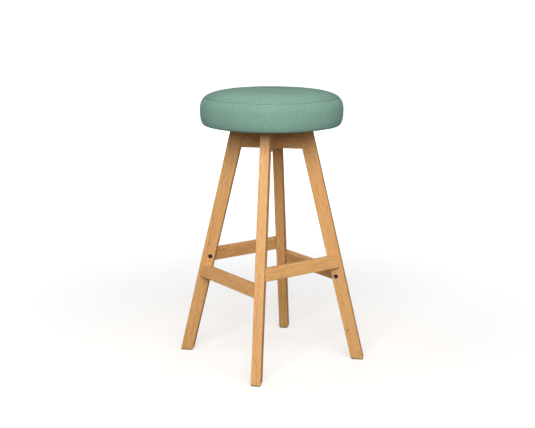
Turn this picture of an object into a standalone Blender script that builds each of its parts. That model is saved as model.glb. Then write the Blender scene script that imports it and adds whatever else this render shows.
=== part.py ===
"""Bar stool: a round upholstered seat on two crossing oak A-frames, with a footrest rail on each side.

Units are metres and +Z is up. The origin is on the floor, under the centre of the seat. One A-frame
lies in the XZ plane (legs left and right), the other in the YZ plane (legs front at -Y and back at +Y).
The footrest rails run diagonally between neighbouring legs: the front-left and back-right rails are
low, the back-left and front-right rails are high, so that the two bolts in each leg miss each other.
"""

import math

import bmesh
import bpy
from mathutils import Matrix

# Driving sizes: each is set by itself.
FRAME_HEIGHT = 0.658  # floor to the top of the legs
SEAT_THICKNESS = 0.092  # frame top to the crown of the seat
SEAT_DIAMETER = 0.390
SEAT_CROWN = 0.016  # rise of the top panel above its seam
SEAM_INSET = 0.0129  # seam circle inside the widest circle of the side band
CORNER_WIDTH = 0.0112  # how far the band's lower edge draws in
CORNER_HEIGHT = 0.036  # height over which it does so

FOOT_REACH = 0.263  # axis to the outer edge of a leg at the floor
TOP_REACH = 0.1095  # the same at the frame top
FOOT_WIDTH = 0.034  # leg width across the A-frame, at the floor
TOP_WIDTH = 0.0395  # the same at the frame top
LEG_THICKNESS = 0.026
CROSS_RAIL_HEIGHT = 0.064

RAIL_HEIGHT = 0.0355
RAIL_THICKNESS = 0.0178
RAIL_SETBACK = 0.0062  # rail's outer face inside the leg's outer edge
LOW_RAIL = 0.2395  # floor to the middle of the two low rails
HIGH_RAIL = 0.282  # the same for the two high rails

ARRIS = 0.0015  # rounding along every wooden edge
GLIDE_THICKNESS = 0.002
GLIDE_INSET = 0.0012  # glide inside the foot's outline

BOLT_DIAMETER = 0.006
BOLT_HEAD_DIAMETER = 0.012
BOLT_HEAD_THICKNESS = 0.0026
HEX_KEY = 0.004  # across the flats of the socket
HEX_DEPTH = 0.0018
INSERT_DIAMETER = 0.009
INSERT_WALL = 0.0024  # wood left beyond an insert's hole, measured along the leg's face
DOWEL_DIAMETER = 0.008
DOWEL_LENGTH = 0.036
SEAT_HEAD_SINK = 0.006  # seat bolt heads above the underside of the cross rails

BOARD_THICKNESS = 0.015
FABRIC = 0.0014
DUST_COVER = 0.0008
BAND_LIP = 0.028  # how far the band folds under the board
DUST_COVER_LAP = 0.008  # dust cover beyond the lip's inner edge
TNUT_FLANGE = 0.019
TNUT_FLANGE_THICKNESS = 0.0014
TNUT_BARREL = 0.0085
TNUT_BARREL_LENGTH = 0.009

# Clearances
GAP = 0.0003  # between pieces that touch
BORE_CLEARANCE = 0.0003  # round a shank, dowel, insert or head, on the radius
BLIND = 0.0007  # beyond the end of a dowel or an insert
OVER = 0.01  # how far a cutter reaches out of the wood

# Sizes that follow from the ones above
lean = (FOOT_REACH - TOP_REACH) / FRAME_HEIGHT
inner_lean = lean + (TOP_WIDTH - FOOT_WIDTH) / FRAME_HEIGHT
joint_tilt = math.atan(inner_lean)
rail_tilt = math.atan(lean / math.sqrt(2))
half_leg = LEG_THICKNESS / 2
rail_bottom = FRAME_HEIGHT - CROSS_RAIL_HEIGHT

hole = BOLT_DIAMETER / 2 + BORE_CLEARANCE
head_hole = BOLT_HEAD_DIAMETER / 2 + BORE_CLEARANCE
insert_hole = INSERT_DIAMETER / 2 + BORE_CLEARANCE
rail_across = RAIL_THICKNESS / math.cos(rail_tilt) * math.sqrt(2)
insert_span = insert_hole * math.sqrt(1 + lean**2)
insert_hole_depth = rail_across - 2 * insert_span - 2 * INSERT_WALL
insert_length = insert_hole_depth - BLIND
bolt_inset = RAIL_SETBACK + INSERT_WALL + insert_span + insert_hole_depth

dust_cover_bottom = FRAME_HEIGHT + GAP
lip_bottom = dust_cover_bottom + DUST_COVER + GAP
board_bottom = lip_bottom + FABRIC + GAP
board_top = board_bottom + BOARD_THICKNESS
seat_top = FRAME_HEIGHT + SEAT_THICKNESS
seam_height = seat_top - SEAT_CROWN
seat_radius = SEAT_DIAMETER / 2
seam_radius = seat_radius - SEAM_INSET
board_radius = seat_radius - CORNER_WIDTH - 2 * GAP
lip_radius = board_radius - BAND_LIP


# Each footrest: the direction it faces, and the height of its middle.
FOOTRESTS = {
    "back_right": (math.pi / 4, LOW_RAIL),
    "back_left": (3 * math.pi / 4, HIGH_RAIL),
    "front_left": (5 * math.pi / 4, LOW_RAIL),
    "front_right": (7 * math.pi / 4, HIGH_RAIL),
}
# Each leg: its direction from the axis, and the footrests on its left (+1) and right (-1) side.
LEGS = {
    "right": (0.0, {1: "back_right", -1: "front_right"}),
    "back": (math.pi / 2, {1: "back_left", -1: "back_right"}),
    "left": (math.pi, {1: "front_left", -1: "back_left"}),
    "front": (3 * math.pi / 2, {1: "front_right", -1: "front_left"}),
}


def leg_outer(z):
    """Distance from the axis to a leg's outer edge at height z."""
    return FOOT_REACH - lean * z


def leg_inner(z):
    return FOOT_REACH - FOOT_WIDTH - inner_lean * z


dowel_heights = (0.28 * CROSS_RAIL_HEIGHT, 0.7 * CROSS_RAIL_HEIGHT)  # above the rail's underside
dowel_end = leg_inner(FRAME_HEIGHT) - DOWEL_LENGTH / 2
seat_bolt_reach = (half_leg + dowel_end) / 2 + 0.003


def clear_scene():
    for item in list(bpy.data.objects):
        bpy.data.objects.remove(item, do_unlink=True)


def material(name, colour, roughness, metallic=0.0):
    made = bpy.data.materials.new(name)
    made.use_nodes = True
    shader = made.node_tree.nodes["Principled BSDF"]
    shader.inputs["Base Color"].default_value = (*colour, 1.0)
    shader.inputs["Roughness"].default_value = roughness
    shader.inputs["Metallic"].default_value = metallic
    return made


def add_object(name, mesh, surface, angle=0.0, matrix=None):
    """A named object with its material, turned by angle about the stool's axis."""
    piece = bpy.data.objects.new(name, mesh)
    bpy.context.scene.collection.objects.link(piece)
    if surface:
        mesh.materials.append(surface)
    piece.matrix_world = Matrix.Rotation(angle, 4, "Z") @ (matrix or Matrix())
    return piece


def mesh_from(points, faces):
    mesh = bpy.data.meshes.new("shape")
    mesh.from_pydata(points, [], faces)
    work = bmesh.new()
    work.from_mesh(mesh)
    bmesh.ops.recalc_face_normals(work, faces=work.faces)
    work.to_mesh(mesh)
    work.free()
    return mesh


def prism(outline, low, high):
    """Closed body: an outline in the XZ plane, swept along Y from low to high."""
    count = len(outline)
    points = [(x, y, z) for y in (low, high) for x, z in outline]
    sides = [(i, (i + 1) % count, (i + 1) % count + count, i + count) for i in range(count)]
    ends = [tuple(range(count)), tuple(range(2 * count - 1, count - 1, -1))]
    return mesh_from(points, sides + ends)


def revolved(profile, segments, closed=False):
    """Closed body turned about Z from a profile of (radius, z), which closes on itself or gets flat ends."""
    points = []
    rings = []
    for radius, z in profile:
        if radius == 0:
            rings.append([len(points)] * segments)
            points.append((0, 0, z))
            continue
        rings.append(list(range(len(points), len(points) + segments)))
        angles = [2 * math.pi * step / segments for step in range(segments)]
        points += [(radius * math.cos(a), radius * math.sin(a), z) for a in angles]
    pairs = list(zip(rings, rings[1:]))
    faces = []
    if closed:
        pairs.append((rings[-1], rings[0]))
    else:
        faces += [tuple(rings[end]) for end in (0, -1) if profile[end][0] > 0]
    for low, high in pairs:
        for step in range(segments):
            after = (step + 1) % segments
            corners = dict.fromkeys([low[step], low[after], high[after], high[step]])
            if len(corners) > 2:
                faces.append(tuple(corners))
    mesh = mesh_from(points, faces)
    mesh.shade_smooth()
    return mesh


def rod(length, radius, segments=24):
    """Closed cylinder from the origin up +Z."""
    return revolved([(radius, 0), (radius, length)], segments)


def stepped_bore(head_depth, depth):
    """Cutter for a bolt: a wide stretch for its head, then a narrow one for its shank, up +Z."""
    profile = [(head_hole, 0), (head_hole, head_depth), (hole, head_depth), (hole, depth)]
    return revolved(profile, 24)


def rounded(piece, width=ARRIS, segments=2):
    bevel = piece.modifiers.new("arris", "BEVEL")
    bevel.width = width
    bevel.segments = segments
    bevel.limit_method = "ANGLE"
    bevel.angle_limit = math.radians(40)
    return piece


def cut(piece, name, mesh, angle=0.0, matrix=None):
    """Takes a hidden helper's shape out of the piece."""
    cutter = add_object(f"{name}_cutter", mesh, None, angle, matrix)
    cutter.hide_render = True
    cutter.display_type = "WIRE"
    boolean = piece.modifiers.new(name, "BOOLEAN")
    boolean.operation = "DIFFERENCE"
    boolean.solver = "EXACT"
    boolean.object = cutter


def along_leg_face(side, reach, z, depth=0.0):
    """Places +Z along local Y, pointing to side (+1 or -1), depth past the middle of the leg."""
    turn = Matrix.Rotation(-side * math.pi / 2, 4, "X")
    return Matrix.Translation((reach, side * depth, z)) @ turn


def along_joint(along, start):
    """Places +Z square to a leg's inner face, pointing outwards, start beyond that face."""
    z = rail_bottom + along
    turn = Matrix.Rotation(math.pi / 2 - joint_tilt, 4, "Y")
    return Matrix.Translation((leg_inner(z), 0, z)) @ turn @ Matrix.Translation((0, 0, start))


def add_bolt(name, length, surface, angle, matrix):
    """Flat-headed socket bolt: head top at z = 0, shank up +Z."""
    chamfer = 0.0004
    head = BOLT_HEAD_DIAMETER / 2
    shank = BOLT_DIAMETER / 2
    profile = [
        (head - chamfer, 0),
        (head, chamfer),
        (head, BOLT_HEAD_THICKNESS),
        (shank, BOLT_HEAD_THICKNESS),
        (shank, length - chamfer),
        (shank - chamfer, length),
    ]
    bolt = add_object(name, revolved(profile, 24), surface, angle, matrix)
    socket = rod(2 * HEX_DEPTH, HEX_KEY / math.sqrt(3), 6)
    below = matrix @ Matrix.Translation((0, 0, -HEX_DEPTH))
    cut(bolt, f"{name}_socket", socket, angle, below)


def add_insert(name, surface, angle, matrix):
    """Threaded sleeve, drawn without its threads."""
    radius = INSERT_DIAMETER / 2
    profile = [(hole, 0), (radius, 0), (radius, insert_length), (hole, insert_length)]
    add_object(name, revolved(profile, 24, closed=True), surface, angle, matrix)


def add_legs(oak):
    """Four splayed, slightly tapered legs. Each lies in its own A-frame plane."""
    foot = GLIDE_THICKNESS + GAP
    outline = [
        (leg_inner(foot), foot),
        (leg_outer(foot), foot),
        (leg_outer(FRAME_HEIGHT), FRAME_HEIGHT),
        (leg_inner(FRAME_HEIGHT), FRAME_HEIGHT),
    ]
    for leg, (angle, rails) in LEGS.items():
        piece = add_object(f"leg_{leg}", prism(outline, -half_leg, half_leg), oak, angle)
        rounded(piece)
        for side, footrest in rails.items():
            height = FOOTRESTS[footrest][1]
            reach = leg_outer(height) - bolt_inset
            bore = stepped_bore(OVER + BOLT_HEAD_THICKNESS + 2 * GAP, LEG_THICKNESS + 2 * OVER)
            where = along_leg_face(side, reach, height, -half_leg - OVER)
            cut(piece, f"bolt_{footrest}_{leg}", bore, angle, where)
        for along in dowel_heights:
            bore = rod(DOWEL_LENGTH / 2 + BLIND + OVER, DOWEL_DIAMETER / 2 + BORE_CLEARANCE)
            cut(piece, f"dowel_{leg}", bore, angle, along_joint(along, -OVER))


def add_cross_rails(oak):
    """Two rails that join opposite legs at the top, half-lapped where they cross."""
    slope_gap = GAP / math.cos(joint_tilt)
    outline = [
        (-leg_inner(rail_bottom) + slope_gap, rail_bottom),
        (leg_inner(rail_bottom) - slope_gap, rail_bottom),
        (leg_inner(FRAME_HEIGHT) - slope_gap, FRAME_HEIGHT),
        (-leg_inner(FRAME_HEIGHT) + slope_gap, FRAME_HEIGHT),
    ]
    middle = rail_bottom + CROSS_RAIL_HEIGHT / 2
    laps = {
        "left_right": (0.0, middle - GAP / 2, FRAME_HEIGHT + OVER),
        "front_back": (math.pi / 2, rail_bottom - OVER, middle + GAP / 2),
    }
    half_lap = half_leg + GAP
    for name, (angle, low, high) in laps.items():
        piece = add_object(f"cross_rail_{name}", prism(outline, -half_leg, half_leg), oak, angle)
        rounded(piece)
        notch = [(-half_lap, low), (half_lap, low), (half_lap, high), (-half_lap, high)]
        cut(piece, f"lap_{name}", prism(notch, -2 * half_leg, 2 * half_leg), angle)
        for turn in (0.0, math.pi):
            sink = OVER + SEAT_HEAD_SINK + BOLT_HEAD_THICKNESS + GAP
            bore = stepped_bore(sink, CROSS_RAIL_HEIGHT + 2 * OVER)
            where = Matrix.Translation((seat_bolt_reach, 0, rail_bottom - OVER))
            cut(piece, f"seat_bolt_{name}", bore, angle + turn, where)
            for along in dowel_heights:
                start = -DOWEL_LENGTH / 2 - BLIND
                bore = rod(DOWEL_LENGTH / 2 + BLIND + OVER, DOWEL_DIAMETER / 2 + BORE_CLEARANCE)
                cut(piece, f"rail_dowel_{name}", bore, angle + turn, along_joint(along, start))


def add_footrests(oak):
    """Four rails, tilted with the slope of the legs and mitred against the legs' flat faces."""
    across = (math.cos(rail_tilt), math.sin(rail_tilt))
    upward = (-math.sin(rail_tilt), math.cos(rail_tilt))
    for name, (angle, height) in FOOTRESTS.items():
        face_height = height + across[1] * RAIL_THICKNESS / 2
        face_reach = (leg_outer(face_height) - RAIL_SETBACK + half_leg) / math.sqrt(2)
        points = []
        for inward, up in ((0, -1), (0, 1), (1, 1), (1, -1)):
            reach = face_reach - across[0] * RAIL_THICKNESS * inward + upward[0] * RAIL_HEIGHT / 2 * up
            z = face_height - across[1] * RAIL_THICKNESS * inward + upward[1] * RAIL_HEIGHT / 2 * up
            half_length = reach - math.sqrt(2) * (half_leg + GAP)
            points += [(-half_length, reach, z), (half_length, reach, z)]
        faces = [(0, 1, 3, 2), (2, 3, 5, 4), (4, 5, 7, 6), (6, 7, 1, 0), (0, 2, 4, 6), (7, 5, 3, 1)]
        piece = add_object(f"footrest_{name}", mesh_from(points, faces), oak, angle - math.pi / 2)
        rounded(piece)
        ends = [(leg, a, side) for leg, (a, rails) in LEGS.items() for side in rails if rails[side] == name]
        for leg, leg_angle, side in ends:
            bore = rod(half_leg + GAP + insert_hole_depth, insert_hole)
            where = along_leg_face(side, leg_outer(height) - bolt_inset, height)
            cut(piece, f"insert_{name}_{leg}", bore, leg_angle, where)


def add_footrest_fixings(black, zinc):
    """Each rail end is held by a socket bolt through the leg, into a threaded insert in the rail."""
    length = LEG_THICKNESS + GAP + insert_length - BLIND
    for leg, (angle, rails) in LEGS.items():
        for side, footrest in rails.items():
            name = f"{footrest}_at_{leg}"
            height = FOOTRESTS[footrest][1]
            reach = leg_outer(height) - bolt_inset
            where = along_leg_face(side, reach, height, -half_leg + GAP)
            add_bolt(f"bolt_{name}", length, black, angle, where)
            inside = along_leg_face(side, reach, height, half_leg + 2 * GAP)
            add_insert(f"insert_{name}", zinc, angle, inside)


def add_dowels(beech):
    for leg, (angle, _) in LEGS.items():
        for level, along in zip(("lower", "upper"), dowel_heights):
            where = along_joint(along, -DOWEL_LENGTH / 2)
            add_object(f"dowel_{leg}_{level}", rod(DOWEL_LENGTH, DOWEL_DIAMETER / 2, 16), beech, angle, where)


def add_glides(nylon):
    """A thin pad under each foot, just inside its outline."""
    inner = leg_inner(0) + GLIDE_INSET
    outer = leg_outer(0) - GLIDE_INSET
    outline = [(inner, 0), (outer, 0), (outer, GLIDE_THICKNESS), (inner, GLIDE_THICKNESS)]
    half = half_leg - GLIDE_INSET
    for leg, (angle, _) in LEGS.items():
        add_object(f"glide_{leg}", prism(outline, -half, half), nylon, angle)


def band_profile(inset):
    """Side band of the cover, inset from its outer surface: seam, bulge and elliptical lower corner."""
    widest = seat_radius - inset
    low = lip_bottom + inset
    high = seam_height - inset
    drop = high - lip_bottom - CORNER_HEIGHT
    points = []
    for step in range(6):
        share = step / 6
        points.append((widest - SEAM_INSET * (1 - share) ** 3.2, high - drop * share))
    for step in range(6):
        turn = math.pi / 2 * step / 5
        radius = widest - (CORNER_WIDTH - inset) * (1 - math.cos(turn))
        points.append((radius, low + (CORNER_HEIGHT - inset) * (1 - math.sin(turn))))
    return points


def top_profile(inset, rim):
    """Top panel of the cover from its rim to the axis, inset below its outer surface."""
    points = []
    for share in (1, 0.97, 0.93, 0.86, 0.75, 0.55, 0):
        rise = (SEAT_CROWN - GAP) * (1 - (share * rim / seam_radius) ** 7.6)
        points.append((share * rim, seam_height + GAP + rise - inset))
    return points


def add_seat(birch, foam, felt, black_cloth):
    """Board, foam and cover. The cover's band meets its top panel at the seam and folds under the board."""
    segments = 40
    lip = [(lip_radius, lip_bottom), (lip_radius, lip_bottom + FABRIC)]
    band = revolved(band_profile(0) + lip + band_profile(FABRIC)[::-1], segments, closed=True)
    add_object("cover_side_band", band, felt)
    panel = top_profile(0, seam_radius) + top_profile(FABRIC, seam_radius - FABRIC)[::-1]
    add_object("cover_top_panel", revolved(panel, segments, closed=True), felt)

    margin = FABRIC + GAP
    crown = top_profile(margin, seam_radius - 2 * margin)
    sides = band_profile(margin)
    well_top = board_top + GAP + TNUT_FLANGE_THICKNESS
    well = [(board_radius + GAP, well_top), (board_radius + GAP, sides[-1][1])]
    add_object("seat_foam", revolved(well + sides[::-1] + crown, segments), foam)

    board = add_object("seat_board", rod(BOARD_THICKNESS, board_radius, segments), birch)
    board.location.z = board_bottom
    cover = add_object("dust_cover", rod(DUST_COVER, lip_radius + DUST_COVER_LAP, segments), black_cloth)
    cover.location.z = dust_cover_bottom
    for index in range(4):
        angle = index * math.pi / 2
        where = Matrix.Translation((seat_bolt_reach, 0, dust_cover_bottom - 0.01))
        cut(cover, f"cover_hole_{index}", rod(0.02, hole), angle, where)
        barrel = rod(BOARD_THICKNESS + 0.02, TNUT_BARREL / 2 + BORE_CLEARANCE)
        cut(board, f"board_hole_{index}", barrel, angle, where)


def add_seat_fixings(black, zinc):
    """Four bolts go up through the cross rails into T-nuts sunk in the board's top."""
    head_low = rail_bottom + SEAT_HEAD_SINK
    flange = board_top + GAP
    barrel_low = flange - TNUT_BARREL_LENGTH
    profile = [
        (hole, barrel_low),
        (TNUT_BARREL / 2, barrel_low),
        (TNUT_BARREL / 2, flange),
        (TNUT_FLANGE / 2, flange),
        (TNUT_FLANGE / 2, flange + TNUT_FLANGE_THICKNESS - GAP),
        (hole, flange + TNUT_FLANGE_THICKNESS - GAP),
    ]
    for leg, (angle, _) in LEGS.items():
        nut = revolved(profile, 24, closed=True)
        add_object(f"tnut_{leg}", nut, zinc, angle, Matrix.Translation((seat_bolt_reach, 0, 0)))
        where = Matrix.Translation((seat_bolt_reach, 0, head_low))
        add_bolt(f"seat_bolt_{leg}", board_top - head_low, black, angle, where)


def main():
    clear_scene()
    oak = material("oak", (0.66, 0.40, 0.18), 0.5)
    felt = material("wool_felt", (0.27, 0.44, 0.36), 0.95)
    black = material("blackened_steel", (0.03, 0.03, 0.035), 0.45, 0.8)
    zinc = material("zinc_plated_steel", (0.6, 0.6, 0.6), 0.35, 1.0)
    beech = material("beech", (0.70, 0.50, 0.32), 0.6)
    nylon = material("dark_nylon", (0.05, 0.045, 0.04), 0.6)
    birch = material("birch_plywood", (0.68, 0.54, 0.36), 0.6)
    foam = material("seat_foam", (0.80, 0.76, 0.62), 0.95)
    black_cloth = material("black_cloth", (0.02, 0.02, 0.02), 0.95)
    add_legs(oak)
    add_cross_rails(oak)
    add_footrests(oak)
    add_footrest_fixings(black, zinc)
    add_dowels(beech)
    add_glides(nylon)
    add_seat(birch, foam, felt, black_cloth)
    add_seat_fixings(black, zinc)


main()
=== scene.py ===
"""Bar stool: a round felt seat on two crossing oak A-frames, with four footrest rails.

Metres, +Z up, origin on the floor under the middle of the seat. Every piece takes its place from the
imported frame: level cuts through the wooden nodes give their tapers, and boxes give the rest.
"""

import math

import bmesh
import bpy
import numpy as np
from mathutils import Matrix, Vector


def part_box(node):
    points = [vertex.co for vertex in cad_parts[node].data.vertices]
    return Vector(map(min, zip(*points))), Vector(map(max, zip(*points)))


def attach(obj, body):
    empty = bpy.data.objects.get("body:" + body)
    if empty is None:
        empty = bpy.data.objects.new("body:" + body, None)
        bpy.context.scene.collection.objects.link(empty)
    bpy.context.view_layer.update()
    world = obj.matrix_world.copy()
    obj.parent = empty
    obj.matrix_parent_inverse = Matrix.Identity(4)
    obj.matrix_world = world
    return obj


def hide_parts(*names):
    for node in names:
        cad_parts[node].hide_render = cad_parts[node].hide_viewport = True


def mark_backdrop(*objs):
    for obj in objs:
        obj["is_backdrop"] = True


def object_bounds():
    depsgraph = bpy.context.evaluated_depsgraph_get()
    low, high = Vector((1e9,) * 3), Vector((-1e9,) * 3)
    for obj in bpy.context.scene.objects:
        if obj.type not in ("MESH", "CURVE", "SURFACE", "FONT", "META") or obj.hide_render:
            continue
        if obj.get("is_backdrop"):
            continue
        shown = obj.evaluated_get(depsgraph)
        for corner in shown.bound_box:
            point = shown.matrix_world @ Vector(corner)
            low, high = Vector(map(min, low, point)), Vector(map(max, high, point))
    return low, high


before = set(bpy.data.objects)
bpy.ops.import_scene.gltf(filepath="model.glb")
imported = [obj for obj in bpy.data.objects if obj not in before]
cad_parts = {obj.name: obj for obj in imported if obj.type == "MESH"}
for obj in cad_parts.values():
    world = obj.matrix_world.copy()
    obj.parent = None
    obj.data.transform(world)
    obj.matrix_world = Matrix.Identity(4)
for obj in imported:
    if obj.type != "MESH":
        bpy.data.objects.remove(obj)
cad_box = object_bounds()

bl_info = {
    "name": "Bar stool",
    "version": (1, 0, 0),
    "blender": (4, 5, 0),
    "location": "3D View > Sidebar > Bar stool",
    "description": "Builds an oak bar stool with a round felt seat and its plain studio",
    "category": "Add Mesh",
}

LEGS = {"right": 0.0, "back": math.pi / 2, "left": math.pi, "front": -math.pi / 2}
FOOTRESTS = {
    "back_right": math.pi / 4,
    "back_left": 3 * math.pi / 4,
    "front_left": -3 * math.pi / 4,
    "front_right": -math.pi / 4,
}
UP = np.array([0.0, 0.0, 1.0])

# Where the pith of the tree lay beside each board, across it and through it.
LEG_PITH = ((0.012, 0.055), (0.030, 0.040), (0.050, 0.012), (0.018, 0.048))
CROSS_RAIL_PITH = (0.035, 0.045)
FOOTREST_PITH = ((0.020, 0.040), (0.015, 0.050), (0.040, 0.025), (0.012, 0.045))
# Small dark knots in the oak, and their colour.
PIN_KNOTS = (
    (-0.143, 0.033, 0.293),
    (-0.042, -0.175, 0.228),
    (0.106, -0.013, 0.586),
    (-0.175, -0.013, 0.318),
    (0.218, -0.013, 0.084),
)
KNOT_COLOUR = (0.38, 0.115, 0.028)

CLEARANCE = 0.0003  # between pieces that touch
BLIND = 0.0007  # beyond the end of a dowel or an insert
OVER = 0.01  # how far a cutter reaches out of the wood
SHANK = 0.003  # radius of a bolt's shank
HEAD_DEPTH = 0.0026
HEX_KEY = 0.004  # across the flats of the socket
HEX_DEPTH = 0.0018

CROWN_POWER = 7.6  # how late the seat's top falls away to its seam
BAND_LIP = 0.028  # how far the side band folds in under the board


def number(name, description, default, **kind):
    """A number that a user may change; kind holds its unit or subtype and its limits."""
    return bpy.props.FloatProperty(name=name, description=description, default=default, **kind)


def size(name, description, default, **limits):
    """A length in metres."""
    return number(name, description, default, unit="LENGTH", precision=5, **limits)


def power(name, description, default):
    return number(name, description, default, unit="POWER", min=0)


def colour(name, description, default):
    return bpy.props.FloatVectorProperty(
        name=name, description=description, default=default, subtype="COLOR", size=3, min=0, max=1
    )


class WoodSettings(bpy.types.PropertyGroup):
    arris: size("Arris", "Rounding along every edge of the oak", 0.0015, min=0.0002, max=0.004)
    ring_spacing: size("Ring spacing", "Width of one year's growth", 0.0034, min=0.001, max=0.01)
    light: colour("Late wood", "Oak between its pores", (0.720, 0.392, 0.147))
    dark: colour("Early wood", "Oak along its open-pored bands", (0.545, 0.270, 0.088))
    pore: colour("Pores", "Bottom of the open pores", (0.20, 0.095, 0.035))


class SeatSettings(bpy.types.PropertyGroup):
    fabric: size("Felt thickness", "Thickness of the wool cover", 0.0014, min=0.0005, max=0.004)
    seam_roll: size("Seam roll", "Width over which a panel's edge rolls into the seam", 0.0023)
    seam_depth: size("Seam depth", "Depth of the seam below the line of the panels", 0.0036)
    pucker: size("Pucker", "Height of the small gathers beside the seam", 0.00022)
    most_swell: size("Most swell", "How far the filling may push the cover", 0.006)
    most_uneven: size("Unevenness", "How far a place may stand out from its round", 0.0006)
    most_lean: number("Puff", "Outward lean of the shading at the seam", math.radians(62), subtype="ANGLE")
    light: colour("Wool, light", "Fibres that catch the light", (0.254, 0.415, 0.340))
    dark: colour("Wool, dark", "Fibres lower in the felt", (0.162, 0.284, 0.230))


class StageSettings(bpy.types.PropertyGroup):
    floor: colour("Floor", "Plain studio floor", (0.60, 0.60, 0.60))
    sky: number("Room light", "Strength of the even light from all round", 0.18, min=0)
    key: power("Key light", "Large soft light, high at the front", 146.0)
    right: power("Right light", "Large soft light at the front right", 88.0)
    left: power("Left light", "Large soft light at the far left", 42.0)
    back: power("Back light", "Large soft light, low at the back", 60.0)


# ---------------------------------------------------------------- surfaces


def ripple(angle, low, high, seed, waves=9):
    """Sum of cosine waves round a circle, each with a whole number of turns between low and high and a
    phase of its own, scaled to about -1 to 1."""
    chance = np.random.default_rng(seed)
    turns = chance.integers(low, high + 1, waves)
    phase = chance.uniform(0, 2 * np.pi, waves)
    weight = chance.uniform(0.5, 1.0, waves)
    every = np.asarray(angle)[..., None]
    return (weight * np.cos(turns * every + phase)).sum(-1) / np.sqrt((weight**2).sum())


def direction(angle):
    return np.array([math.cos(angle), math.sin(angle), 0.0])


def ring_angles(columns):
    return np.arange(columns) * 2 * np.pi / columns


def placed(name, data):
    """A new object in the scene, at the origin."""
    made = bpy.data.objects.new(name, data)
    bpy.context.scene.collection.objects.link(made)
    return made


def surface(name, grid, loop_rows=False, caps=False, sharp=32.0):
    """A closed mesh from a grid of points, rows by columns: each point joins its neighbours into
    four-sided faces, and the columns run round. Rows run round too with loop_rows, or end in a flat
    cap. Rows that meet in a point become a pole."""
    rows, columns = grid.shape[:2]
    index = np.arange(rows * columns).reshape(rows, columns)
    after = np.roll(index, -1, axis=0) if loop_rows else index[1:]
    here = index if loop_rows else index[:-1]
    corners = (here, np.roll(here, -1, axis=1), np.roll(after, -1, axis=1), after)
    faces = np.stack(corners, axis=-1).reshape(-1, 4).tolist()
    if caps:
        faces += [index[0, ::-1].tolist(), index[-1].tolist()]
    mesh = bpy.data.meshes.new(name)
    mesh.from_pydata(grid.reshape(-1, 3).tolist(), [], faces)
    form = bmesh.new()
    form.from_mesh(mesh)
    bmesh.ops.remove_doubles(form, verts=form.verts, dist=1e-7)
    bmesh.ops.recalc_face_normals(form, faces=form.faces)
    form.to_mesh(mesh)
    form.free()
    soften(mesh, sharp)
    return placed(name, mesh)


def soften(mesh, sharp=32.0):
    """Smooth shading, with a crease wherever two faces meet at more than this many degrees."""
    mesh.shade_smooth()
    mesh.set_sharp_from_angle(angle=math.radians(sharp))
    mesh.update()


def rows_of(items, key, width, kind=np.float32):
    """One value of every item, as rows of so many numbers."""
    found = np.empty(len(items) * width, kind)
    items.foreach_get(key, found)
    return found.reshape(-1, width)


def points_of(mesh):
    return rows_of(mesh.vertices, "co", 3).astype(float)


def turned(name, profile, start, axis, columns=48, shape=None, sharp=32.0):
    """A piece turned on a lathe: each profile point (reach, along) is carried once round the axis from
    start. shape(reach, along, angle) may make the reach vary round the axis, as for a hexagon."""
    reach, along = np.array(profile, float).T
    angle = ring_angles(columns)
    axis = np.array(axis, float) / np.linalg.norm(axis)
    side = np.cross(axis, UP if abs(axis[2]) < 0.9 else (1.0, 0, 0))
    side /= np.linalg.norm(side)
    up = np.cross(axis, side)
    out = np.repeat(reach[:, None], columns, axis=1)
    if shape:
        out = shape(reach[:, None], along[:, None], angle[None, :])
    round_it = np.cos(angle)[:, None] * side + np.sin(angle)[:, None] * up
    grid = np.array(start) + along[:, None, None] * axis + out[..., None] * round_it
    return surface(name, grid, sharp=sharp)


def rounded_section(radius, steps=6, hold=0.0006):
    """Points round a rectangle with rounded corners, as four rows: the side each point is on, -1 or 1,
    and its inset from that side in metres, for each of the two directions. Each corner is a quarter
    circle with a holding point on the flat beside both its ends, and every other corner runs back."""
    turn = np.linspace(0, np.pi / 2, steps + 1)
    first = np.concatenate([[0.0], radius * (1 - np.cos(turn)), [radius + hold]])
    second = np.concatenate([[radius + hold], radius * (1 - np.sin(turn)), [0.0]])
    corners = []
    for sign_a, sign_b, step in ((1, 1, 1), (-1, 1, -1), (-1, -1, 1), (1, -1, -1)):
        one = np.ones(first.size)
        corners.append(np.stack([sign_a * one, first[::step], sign_b * one, second[::step]]))
    return np.concatenate(corners, axis=1)


def level_end(height):
    """An end for a beam, cut level at this height."""
    return lambda a, b: a * 0 + height


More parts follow.
